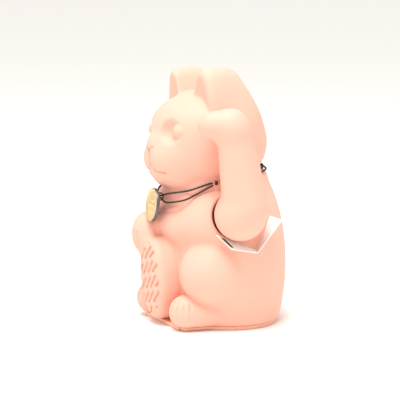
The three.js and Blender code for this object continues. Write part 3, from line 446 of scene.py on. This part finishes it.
def grain_group():
    """Object-space grain shared by the finishes: a slow drift of colour, uneven gloss and a fine bump."""
    group = bpy.data.node_groups.new("surface_grain", "ShaderNodeTree")
    for name, kind in (("Color", "Color"), ("Tint", "Color"), ("Scale", "Float"), ("Roughness", "Float"),
                       ("Spread", "Float"), ("Depth", "Float")):
        group.interface.new_socket(name, in_out="INPUT", socket_type="NodeSocket" + kind)
    for name, kind in (("Color", "Color"), ("Roughness", "Float"), ("Normal", "Vector")):
        group.interface.new_socket(name, in_out="OUTPUT", socket_type="NodeSocket" + kind)
    add, link = group.nodes.new, group.links.new
    given, result = add("NodeGroupInput"), add("NodeGroupOutput")
    place = add("ShaderNodeTexCoord")
    slow, fine = add("ShaderNodeTexNoise"), add("ShaderNodeTexNoise")
    slow.inputs["Scale"].default_value = 60
    slow.inputs["Detail"].default_value = 2
    fine.inputs["Detail"].default_value = 4
    link(given.outputs["Scale"], fine.inputs["Scale"])
    for noise in (slow, fine):
        link(place.outputs["Object"], noise.inputs["Vector"])
    mix = add("ShaderNodeMix")
    mix.data_type = "RGBA"
    link(slow.outputs["Fac"], mix.inputs["Factor"])
    link(given.outputs["Color"], mix.inputs["A"])
    link(given.outputs["Tint"], mix.inputs["B"])
    link(mix.outputs["Result"], result.inputs["Color"])
    gloss = add("ShaderNodeMath")
    gloss.operation = "MULTIPLY_ADD"
    link(fine.outputs["Fac"], gloss.inputs[0])
    link(given.outputs["Spread"], gloss.inputs[1])
    link(given.outputs["Roughness"], gloss.inputs[2])
    link(gloss.outputs["Value"], result.inputs["Roughness"])
    bump = add("ShaderNodeBump")
    bump.inputs["Distance"].default_value = 0.0002
    link(fine.outputs["Fac"], bump.inputs["Height"])
    link(given.outputs["Depth"], bump.inputs["Strength"])
    link(bump.outputs["Normal"], result.inputs["Normal"])
    return group


GRAIN = grain_group()


def finish(name, color, tint, roughness, metallic=0.0, scale=900, spread=0.1, depth=0.1, specular=0.4):
    """A material with the shared grain."""
    material = bpy.data.materials.new(name)
    material.use_nodes = True
    nodes, link = material.node_tree.nodes, material.node_tree.links.new
    shader = nodes["Principled BSDF"]
    grain = nodes.new("ShaderNodeGroup")
    grain.node_tree = GRAIN
    values = {"Color": (*color, 1), "Tint": (*tint, 1), "Scale": scale, "Roughness": roughness - spread / 2,
              "Spread": spread, "Depth": depth}
    for socket, value in values.items():
        grain.inputs[socket].default_value = value
    shader.inputs["Metallic"].default_value = metallic
    shader.inputs["Specular IOR Level"].default_value = specular
    link(grain.outputs["Color"], shader.inputs["Base Color"])
    link(grain.outputs["Roughness"], shader.inputs["Roughness"])
    link(grain.outputs["Normal"], shader.inputs["Normal"])
    return material


def dress(piece, *materials):
    """Gives a piece its materials in place of any it has."""
    piece.data.materials.clear()
    for material in materials:
        piece.data.materials.append(material)


def place(piece, material, body, slot, *nodes):
    """A finished piece: its material, the body it rides on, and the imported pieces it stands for."""
    if material:
        dress(piece, material)
    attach(piece, body)
    if nodes:
        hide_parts(*nodes)


peach = finish(
    "soft_touch_peach", (0.90, 0.47, 0.365), (0.88, 0.445, 0.34),
    0.56, scale=2500, depth=0.04, specular=0.3,
)
for piece, node in ((front_shell, "front_shell"), (back_shell, "back_shell")):
    crisp(piece, 50)
    place(piece, peach, "body", "body_shell", node)

# ---------------------------------------------------------------------------------------------
# Base plate. A moulded plate with rounded edges, a little inside the shells' edge, with the packed
# plate's own bay, bosses and ribs on top of it.
# ---------------------------------------------------------------------------------------------

BASE_THICKNESS = 2.4
BASE_INSET = 1.0
BASE_PROFILE = ((0.7, 0), (0.25, 0.2), (0, 0.7), (0, 1.9), (0.2, 2.25), (0.5, BASE_THICKNESS))
DOOR_GAP = 0.3
SCREW_BORE, SCREW_HEAD_BORE, SCREW_HEAD_DEPTH = 1.3, 2.7, 1.5


def loft(name, rings):
    """A closed piece through rings of points, with flat caps."""
    count = len(rings[0])
    vertices = [point for ring in rings for point in ring]
    faces = []
    for row in range(len(rings) - 1):
        for i in range(count):
            j = (i + 1) % count
            faces.append((row * count + i, row * count + j, (row + 1) * count + j, (row + 1) * count + i))
    faces.append(tuple(reversed(range(count))))
    faces.append(tuple(range((len(rings) - 1) * count, len(rings) * count)))
    return add_mesh(name, vertices, faces)


def drum(name, centre, radius, low, high, axis=2, sides=48):
    """A plain round bar along an axis."""
    rings = []
    for height in (low, high):
        turns = [2 * math.pi * i / sides for i in range(sides)]
        ring = [(centre[0] + radius * math.cos(t), centre[1] + radius * math.sin(t)) for t in turns]
        rings.append([(height, a, b) if axis == 0 else (a, b, height) for a, b in ring])
    return loft(name, rings)


def base_edge(inset, count=288):
    """The base plate's outline."""
    turns = 2 * np.pi * np.arange(count) / count
    rays = np.stack([np.cos(turns), np.sin(turns), np.zeros(count)], -1)
    low, high = np.zeros(count), np.full(count, 60.0)
    for _ in range(24):
        middle = (low + high) / 2
        points = np.array((0, TORSO[0][1], SEAM_Z)) + rays * middle[:, None]
        pair = both_sides(points)
        form = join(egg(points, *TORSO), foot_form(pair, False), 3)
        foot_reach = math.sqrt(TOE_RADIUS**2 - (TOE[2] - SEAM_Z) ** 2)
        between = np.maximum(pair[:, 0] - TOE[0], TOE[1] - foot_reach - points[:, 1])
        inside = np.minimum(form, np.maximum(between, points[:, 1])) < -inset
        low, high = np.where(inside, middle, low), np.where(inside, high, middle)
    return [(low[i] * rays[i, 0], TORSO[0][1] + low[i] * rays[i, 1]) for i in range(count)]


base_rings = []
for inset, height in BASE_PROFILE:
    base_rings.append([(x, y, height) for x, y in base_edge(BASE_INSET + inset)])
base_plate = loft("moulded_base_plate", base_rings)
door_low, door_high = corner("battery_door", 0), corner("battery_door", 1)
bay = (door_low - (DOOR_GAP, DOOR_GAP, 1), door_high + (DOOR_GAP, DOOR_GAP, 2))
combine(base_plate, add_box("bay", *bay), "DIFFERENCE")
for number in (1, 2, 3, 4):
    middle = (corner(f"base_screw_{number}", 0) + corner(f"base_screw_{number}", 1)) / 2
    combine(base_plate, drum("bore", middle, SCREW_BORE, -1, 4), "DIFFERENCE")
    combine(base_plate, drum("counterbore", middle, SCREW_HEAD_BORE, -1, SCREW_HEAD_DEPTH), "DIFFERENCE")
combine(base_plate, copy_of(frame["nodes"]["base_plate"], "packed_base"), "UNION")
crisp(base_plate, 40)
base_peach = finish(
    "base_peach", (0.93, 0.50, 0.36), (0.91, 0.48, 0.34),
    0.5, scale=1500, depth=0.08,
)
place(base_plate, base_peach, "body", "base_plastic", "base_plate")

# ---------------------------------------------------------------------------------------------
# Pieces inside the cat, and the battery door: bevelled, with their own finishes. The contacts,
# spring, coil, board, leads and screws are as they are made.
# ---------------------------------------------------------------------------------------------

jacket = finish(
    "printed_jacket", (0.04, 0.13, 0.33), (0.03, 0.11, 0.30),
    0.3, metallic=0.3, scale=600,
)
plated = finish("nickel_plate", (0.72, 0.71, 0.68), (0.66, 0.65, 0.61), 0.28, metallic=1, scale=700)
grey = finish("grey_moulding", (0.47, 0.47, 0.45), (0.43, 0.43, 0.41), 0.5, scale=900)
white = finish("white_moulding", (0.80, 0.78, 0.72), (0.76, 0.73, 0.66), 0.4, scale=900)
copper = finish(
    "enamelled_copper", (0.60, 0.22, 0.08), (0.50, 0.17, 0.06),
    0.3, metallic=1, scale=3000, depth=0.3,
)
green = finish("solder_mask", (0.02, 0.16, 0.06), (0.015, 0.12, 0.05), 0.35, scale=500)
zinc = finish("zinc_steel", (0.62, 0.63, 0.64), (0.54, 0.55, 0.57), 0.35, metallic=1, scale=1200)
black = finish("black_sleeve", (0.012, 0.012, 0.013), (0.02, 0.02, 0.02), 0.4)
red = finish("red_sleeve", (0.45, 0.012, 0.01), (0.38, 0.01, 0.01), 0.4)
FINISHES = {
    "base_plastic": base_peach, "cell_jacket": jacket, "spring_steel": plated, "frame_plastic": grey,
    "white_plastic": white, "copper_wire": copper, "circuit_board": green, "screw_steel": zinc,
    "magnet": plated, "black_lead": black, "red_lead": red,
}
SMALLEST_BEVEL = 0.12 * MM
for subpart in frame["record"]["subparts"]:
    node, material_slot = subpart["node"], subpart["material_slot"]
    if material_slot not in FINISHES or node == "base_plate":
        continue
    piece = frame["nodes"][node]
    dress(piece, FINISHES[material_slot])
    bevel = piece.modifiers.new("worn_edge", "BEVEL")
    bevel.width = SMALLEST_BEVEL
    bevel.segments = 2
    bevel.limit_method = "ANGLE"
    bevel.angle_limit = math.radians(50)

# ---------------------------------------------------------------------------------------------
# Raised arm. A thin hollow moulding in two halves, glued along an upright seam, on a steel shaft.
# ---------------------------------------------------------------------------------------------

ARM_WALL = 1.3
ARM_GRID = 0.5
HUB = ((42.7, -2, 66.3), (14.3, 14.3, 14.3))
UPRIGHT = ((46.5, -1, 72), (46, -7.5, 110), 12.6, 9.6)
HAND = ((45.5, -9.5, 115), (42, -19.2, 116), 10, 7.4)
FINGER_GROOVES = (((38.5, -25), (39.1, -14)), ((43, -25), (43.6, -14)))
SHAFT_SOCKET, SHAFT_BORE = 3.5, 1.6
SOCKET_START, SOCKET_PAST_SHAFT, SOCKET_END_WALL = HUB[0][0] - HUB[1][0] + 1.2, 2.5, 2


def arm_form(points, detail=True):
    """The raised arm: a round hub, an upright and a bent hand with grooves between its fingers."""
    form = join(egg(points, *HUB), rod(points, *UPRIGHT), 3)
    form = join(form, rod(points, *HAND), 4)
    if detail:
        above = np.where(points[..., 2] > HAND[1][2], 0, FAR)
        for groove in FINGER_GROOVES:
            form = engrave(form, above + stroke(points[..., (0, 1)], groove, GROOVE_RADIUS), 0.9, 1.2)
    return form


arm = hollow(
    "arm_skin", arm_form, lambda points: arm_form(points, False), ARM_WALL,
    (26, -31, 48), (62, 16, 130), ARM_GRID * (1),
)
socket_high = corner("arm_shaft", 1)[0] + SOCKET_PAST_SHAFT
pivot = (PIVOT_Y, PIVOT_Z)
combine(arm, drum("socket", pivot, SHAFT_SOCKET, SOCKET_START, socket_high, axis=0), "UNION")
combine(arm, drum("bore", pivot, SHAFT_BORE, 20, socket_high - SOCKET_END_WALL, axis=0), "DIFFERENCE")
arm_split = corner("arm_outer_shell", 0)[0]
arm_inner, arm_outer = arm, copy_of(arm, "moulded_arm_outer")
arm_inner.name = "moulded_arm_inner"
seam_side = (arm_split - SEAM_HAIRLINE, REACH, 2 * REACH)
combine(arm_inner, add_box("inner", (0, -REACH, 0), seam_side), "INTERSECT")
combine(arm_outer, add_box("outer", (arm_split, -REACH, 0), (REACH, REACH, 2 * REACH)), "INTERSECT")
for piece, node in ((arm_inner, "arm_inner_shell"), (arm_outer, "arm_outer_shell")):
    crisp(piece, 50)
    place(piece, peach, "raised_arm", "body_shell", node)

# ---------------------------------------------------------------------------------------------
# Collar. One dark elastic cord of three twisted plies, taken twice round the neck, with its knot on
# the cat's left shoulder and the medallion's ring in front.
# ---------------------------------------------------------------------------------------------

CORD_RADIUS, CORD_LOBE, CORD_TWIST, CORD_SPACING = 0.5, 0.07, 2.6, 0.35
KNOT_SIZE, KNOT_CORD, KNOT_OPENING, KNOT_STEPS = 0.34, 0.42, 0.15, 120
UPPER_STRAND = (
    (26, -10.6, 82.2), (23.7, -14.2, 80.8), (20.1, -19.6, 78.4), (15.4, -22.7, 76.8), (8.9, -29.2, 75.2),
    (1.5, -31.2, 73.2), (-5, -29.7, 73.8), (-11.3, -26, 75.4), (-17.5, -21, 76.9), (-24, -14.8, 79.7),
    (-28, -6.5, 83.2), (-29.5, 2.1, 84.9), (-27.8, 12, 86.3), (-22.8, 21.1, 87.3), (-12.2, 28.4, 87.9),
    (0, 30.8, 88), (12.1, 27.9, 87.8), (22.1, 20.4, 87.2), (26.7, 11.7, 86.2), (28.2, 2, 84.9),
    (27.9, -2.9, 83.9), (27.3, -7, 83.1),
)
LOWER_STRAND = (
    (26.3, -10.4, 81), (24.2, -13.7, 78.8), (20.7, -18.5, 75.4), (17.2, -24.1, 72.2), (8.6, -30.6, 70.3),
    (1.5, -31.2, 72), (-4.5, -32.4, 67.6), (-12, -30.8, 65.6), (-20, -25.9, 69.3), (-26.3, -15.6, 75.9),
    (-28.8, -6.7, 80.6), (-29.2, 2, 83.2), (-27.7, 12.1, 84.7), (-22.8, 21.1, 85.7), (-12.8, 29.5, 86.2),
    (0, 32.4, 86.3), (12.8, 29.4, 86.2), (22.8, 21.1, 85.8), (27.6, 12.1, 84.8), (29, 2, 83.3),
    (28.5, -3, 82.3), (27.7, -7, 81.9),
)


def smooth_route(points, spacing):
    """Evenly spaced points along a smooth curve through others."""
    points = np.array(points, float)
    ends = np.array((points[0], *points, points[-1]))
    share = np.linspace(0, 1, 24, endpoint=False)[:, None]
    curve = []
    for a, b, c, d in zip(ends, ends[1:], ends[2:], ends[3:]):
        curve.append(0.5 * (2 * b + (c - a) * share + (2 * a - 5 * b + 4 * c - d) * share**2
                            + (3 * b - a - 3 * c + d) * share**3))
    curve = np.concatenate(curve + [ends[-2:-1]])
    run = np.concatenate([[0], np.cumsum(np.linalg.norm(np.diff(curve, axis=0), axis=1))])
    wanted = np.linspace(0, run[-1], max(4, round(run[-1] / spacing)))
    return np.stack([np.interp(wanted, run, curve[:, i]) for i in range(3)], -1)


def cord_piece(name, route, radius, lobe=0.0, twist=1.0, sides=12, taper=2):
    """A closed cord along a route, with three lobes that twist along it."""
    ahead = np.gradient(route, axis=0)
    ahead /= np.linalg.norm(ahead, axis=1, keepdims=True)
    side = np.cross(ahead[0], (0, 0.3, 1))
    spacing = np.linalg.norm(route[1] - route[0])
    rings = []
    for i, point in enumerate(route):
        side = side - ahead[i] * (side @ ahead[i])
        side /= np.linalg.norm(side)
        other = np.cross(ahead[i], side)
        shrink = min(1, (min(i, len(route) - 1 - i) + 0.6) / taper)
        ring = []
        for k in range(sides):
            turn = 2 * math.pi * k / sides
            reach = (radius + lobe * math.cos(3 * (turn - twist * i * spacing))) * shrink
            ring.append(point + reach * (math.cos(turn) * side + math.sin(turn) * other))
        rings.append(ring)
    return loft(name, rings)


elastic = finish(
    "dark_elastic", (0.035, 0.03, 0.025), (0.06, 0.052, 0.04),
    0.75, scale=6000, depth=0.6,
)
for name, node, strand in (
    ("elastic_upper", "collar_strand_upper", UPPER_STRAND),
    ("elastic_lower", "collar_strand_lower", LOWER_STRAND),
):
    route = smooth_route(strand, CORD_SPACING)
    piece = cord_piece(name, route, CORD_RADIUS, CORD_LOBE, CORD_TWIST)
    place(piece, elastic, "body", "elastic_cord", node)
knot_middle = (corner("collar_knot", 0) + corner("collar_knot", 1)) / 2
knot_turns = np.linspace(KNOT_OPENING, 2 * np.pi - KNOT_OPENING, KNOT_STEPS)[:, None]
trefoil = np.concatenate([
    np.sin(knot_turns) + 2 * np.sin(2 * knot_turns),
    np.cos(knot_turns) - 2 * np.cos(2 * knot_turns),
    -1.4 * np.sin(3 * knot_turns),
], 1)
knot = cord_piece("elastic_knot", knot_middle + KNOT_SIZE * trefoil[:, (0, 2, 1)], KNOT_CORD)
place(knot, elastic, "body", "elastic_cord", "collar_knot")

# ---------------------------------------------------------------------------------------------
# Medallion. A struck disc, pale gold on its face and dark at its thick edge, on a dark wire ring.
# ---------------------------------------------------------------------------------------------

RING_RADIUS, RING_WIRE, RING_GAP = 2.0, 0.45, 0.3
RING_STEPS, RING_SIDES = 48, 12
DISC_RADIUS, DISC_THICKNESS, DISC_DROP, DISC_SIDES = 9.4, 1.9, 4.9, 144
DISC_TILT, DISC_TURN = math.radians(8), math.radians(-6)
DISC_BACK = ((0.3, 0), (9.1, 0), (DISC_RADIUS, 0.3), (DISC_RADIUS, DISC_THICKNESS - 0.3))
DISC_FACE = (
    9.2, 8.9, 8.4, 8.1, 7.8, 7.4, 7.05, 6.7, 6.35, 6, 5.5, 5, 4.5, 4, 3.5, 3, 2.5, 2, 1.5, 1.1, 0.7, 0.3,
)
ring_middle = np.array(joints["medallion_swing"]["pos_m"]) / MM


def struck_face(radius, turn):
    """How high the disc's face stands: a rim, a ring of beads and a plain rosette."""
    height = 0.45 * min(1, max(0, (radius - 8.0) / 0.35))
    bead = math.cos(24 * turn) * max(0, 1 - abs(radius - 6.7) / 0.7)
    petal = math.cos(3 * turn) ** 2 * math.sin(math.pi * min(1, max(0, (radius - 1) / 4.2)))
    button = max(0, 1 - (radius / 1.3) ** 2) ** 0.5
    return height + 0.18 * max(0, bead) + 0.35 * petal + 0.4 * button - 0.45


turns = [2 * math.pi * k / DISC_SIDES for k in range(DISC_SIDES)]
disc_rings = [[(radius, turn, depth) for turn in turns] for radius, depth in DISC_BACK]
for radius in DISC_FACE:
    disc_rings.append([(radius, turn, DISC_THICKNESS + struck_face(radius, turn)) for turn in turns])
lean = Matrix.Translation(ring_middle) @ Matrix.Rotation(DISC_TURN, 4, "Z")
lean = lean @ Matrix.Rotation(-DISC_TILT, 4, "X")
rings = []
for ring in disc_rings:
    rings.append([
        lean @ Vector((radius * math.cos(turn), -RING_RADIUS - RING_WIRE - RING_GAP - depth,
                       radius * math.sin(turn) - DISC_DROP))
        for radius, turn, depth in ring
    ])
medallion = loft("struck_medallion", rings)
gold = finish(
    "pale_gold", (0.86, 0.66, 0.36), (0.78, 0.56, 0.28),
    0.34, metallic=1, scale=1800, spread=0.18,
)
aged = finish(
    "aged_nickel", (0.20, 0.19, 0.17), (0.11, 0.10, 0.09),
    0.42, metallic=1, scale=1500, spread=0.2,
)
dress(medallion, gold, aged)
for face in medallion.data.polygons:
    row = min(face.vertices) // DISC_SIDES
    face.material_index = 1 if len(face.vertices) == 4 and row < len(DISC_BACK) else 0
crisp(medallion, 40)
place(medallion, None, "medal", "medal_gold", "medallion")
ring_turns = np.linspace(0, 2 * np.pi, RING_STEPS + 1)[:-1]
ring_sides = np.linspace(0, 2 * np.pi, RING_SIDES + 1)[:-1]
ring_points, ring_faces = [], []
for i, turn in enumerate(ring_turns):
    for k, side in enumerate(ring_sides):
        reach = RING_RADIUS + RING_WIRE * math.cos(side)
        offset = (RING_WIRE * math.sin(side), reach * math.cos(turn), reach * math.sin(turn))
        ring_points.append(ring_middle + offset)
        here, ahead = i * RING_SIDES, (i + 1) % RING_STEPS * RING_SIDES
        across = (k + 1) % RING_SIDES
        ring_faces.append((here + k, here + across, ahead + across, ahead + k))
ring = add_mesh("medallion_wire_ring", ring_points, ring_faces)
place(ring, aged, "medal", "dull_nickel", "medallion_ring")

# ---------------------------------------------------------------------------------------------
# Card. A strip of white paper folded under the arm's hub, its front leg printed with a dark bar.
# ---------------------------------------------------------------------------------------------

PAPER = 0.4
BODY_SIDE = 37.64
CARD_FRONT = ((-1.1, -11.7, -11.2), (8.9, -7.2, -18))
CARD_FOLD = ((2.9, 11.7, -21.2), (8.4, 9, -21.3))
CARD_BACK = ((-2.4, 22, -3.1), (8.4, 24.1, -4))
CARD_BAR = ((0.035, 0.13), (0.12, 0.84))  # its reach along and across the front leaf
CARD_CLEAR = 0.35
FRONT_STEPS, BACK_STEPS, CARD_COLUMNS = 40, 32, 20
CREASE_ROWS = 2  # rows each side of the fold that the crease rounds


def clear_of_cat(point):
    """A point moved out sideways until it is clear of the cat."""
    point = np.array(point, float)
    for _ in range(30):
        short = CARD_CLEAR - float(cat_form(point[None].astype(np.float32), False)[0])
        if short <= 0:
            break
        point[0] += short + 0.02
    return point


def leaf_point(start, end, along, across):
    """A point of a leaf that is ruled between two edges, in place beside the body."""
    first = np.array(start[0]) * (1 - across) + np.array(start[1]) * across
    last = np.array(end[0]) * (1 - across) + np.array(end[1]) * across
    return first * (1 - along) + last * along + (BODY_SIDE, PIVOT_Y, PIVOT_Z)


card_rows = []
leaves = ((CARD_FRONT, CARD_FOLD, 0, FRONT_STEPS), (CARD_FOLD, CARD_BACK, 1, BACK_STEPS))
for start, end, first, count in leaves:
    for i in range(first, count + 1):
        inner, outer = (leaf_point(start, end, i / count, across) for across in (0, 1))
        inner = clear_of_cat(inner)
        card_rows.append([inner + (outer - inner) * k / CARD_COLUMNS for k in range(CARD_COLUMNS + 1)])
card_rows = np.array(card_rows)
low, high = FRONT_STEPS - CREASE_ROWS, FRONT_STEPS + CREASE_ROWS + 1
for _ in range(2):
    beside = card_rows[low - 1:high - 1] + card_rows[low + 1:high + 1]
    card_rows[low:high] = (beside + 2 * card_rows[low:high]) / 4
facing = np.cross(np.gradient(card_rows, axis=0), np.gradient(card_rows, axis=1))
facing /= np.linalg.norm(facing, axis=-1, keepdims=True)
top, bottom = card_rows - facing * PAPER / 2, card_rows + facing * PAPER / 2
card_rings = [np.concatenate([top[i], bottom[i, ::-1]]) for i in range(len(card_rows))]
card = loft("folded_card", card_rings)
paper = finish(
    "card_paper", (0.93, 0.93, 0.92), (0.90, 0.90, 0.88),
    0.85, scale=3000, depth=0.25, specular=0.2,
)
ink = finish("dark_print", (0.03, 0.028, 0.03), (0.05, 0.045, 0.045), 0.6, scale=3000, depth=0.2)
dress(card, paper, ink)
for face in card.data.polygons:
    row, column = divmod(min(face.vertices), 2 * (CARD_COLUMNS + 1))
    along, across = row / FRONT_STEPS, column / CARD_COLUMNS
    in_bar = CARD_BAR[0][0] < along < CARD_BAR[0][1] and CARD_BAR[1][0] < across < CARD_BAR[1][1]
    face.material_index = int(len(face.vertices) == 4 and in_bar and column < CARD_COLUMNS)
crisp(card, 30)
place(card, None, "card", "card_paper", "transit_card")

# ---------------------------------------------------------------------------------------------
# Setting: a pale floor that reaches the horizon, one large soft light and white fill.
# ---------------------------------------------------------------------------------------------

FLOOR_REACH = 30000
KEY_AT, KEY_TARGET, KEY_SIZE, KEY_POWER = (0.2, -0.25, 1.05), (0, 0, 0.07), 0.5, 11
ROOM_COLOR = (1, 0.985, 0.965, 1)
VIEW_AZIMUTH, VIEW_ELEVATION = math.radians(64), math.radians(9)
VIEW_DISTANCE, VIEW_ASIDE, VIEW_ABOVE = 1.0, -0.00514, 0.06743
VIEW_LENS, VIEW_SENSOR = 157.5, 36

floor_corners = [(x * FLOOR_REACH, y * FLOOR_REACH, 0) for x, y in ((-1, -1), (1, -1), (1, 1), (-1, 1))]
floor = add_mesh("floor", floor_corners, [(0, 1, 2, 3)])
pale = (0.93, 0.91, 0.88)
dress(floor, finish("pale_floor", pale, pale, 0.9, scale=200, depth=0, specular=0.1))


def soft_light(name, position, target, size, power):
    """A large soft lamp, aimed at a point."""
    lamp = bpy.data.lights.new(name, "AREA")
    lamp.size, lamp.energy = size, power
    holder = bpy.data.objects.new(name, lamp)
    bpy.context.scene.collection.objects.link(holder)
    holder.location = position
    holder.rotation_euler = (Vector(target) - Vector(position)).to_track_quat("-Z", "Y").to_euler()


soft_light("key", KEY_AT, KEY_TARGET, KEY_SIZE, KEY_POWER)
world = bpy.data.worlds.new("white_room")
world.use_nodes = True
world.node_tree.nodes["Background"].inputs["Color"].default_value = ROOM_COLOR
world.node_tree.nodes["Background"].inputs["Strength"].default_value = 1.0
bpy.context.scene.world = world
bpy.context.scene.view_settings.view_transform = "Standard"

right = Vector((math.cos(VIEW_AZIMUTH), math.sin(VIEW_AZIMUTH), 0))
level_back = Vector((math.sin(VIEW_AZIMUTH), -math.cos(VIEW_AZIMUTH), 0))
back = level_back * math.cos(VIEW_ELEVATION) + Vector((0, 0, math.sin(VIEW_ELEVATION)))
up = back.cross(right)
camera = bpy.data.objects.new("camera", bpy.data.cameras.new("camera"))
bpy.context.scene.collection.objects.link(camera)
camera.location = right * VIEW_ASIDE + up * VIEW_ABOVE + back * VIEW_DISTANCE
camera.rotation_euler = (-back).to_track_quat("-Z", "Y").to_euler()
camera.data.lens = VIEW_LENS
camera.data.sensor_width = VIEW_SENSOR
bpy.context.scene.camera = camera
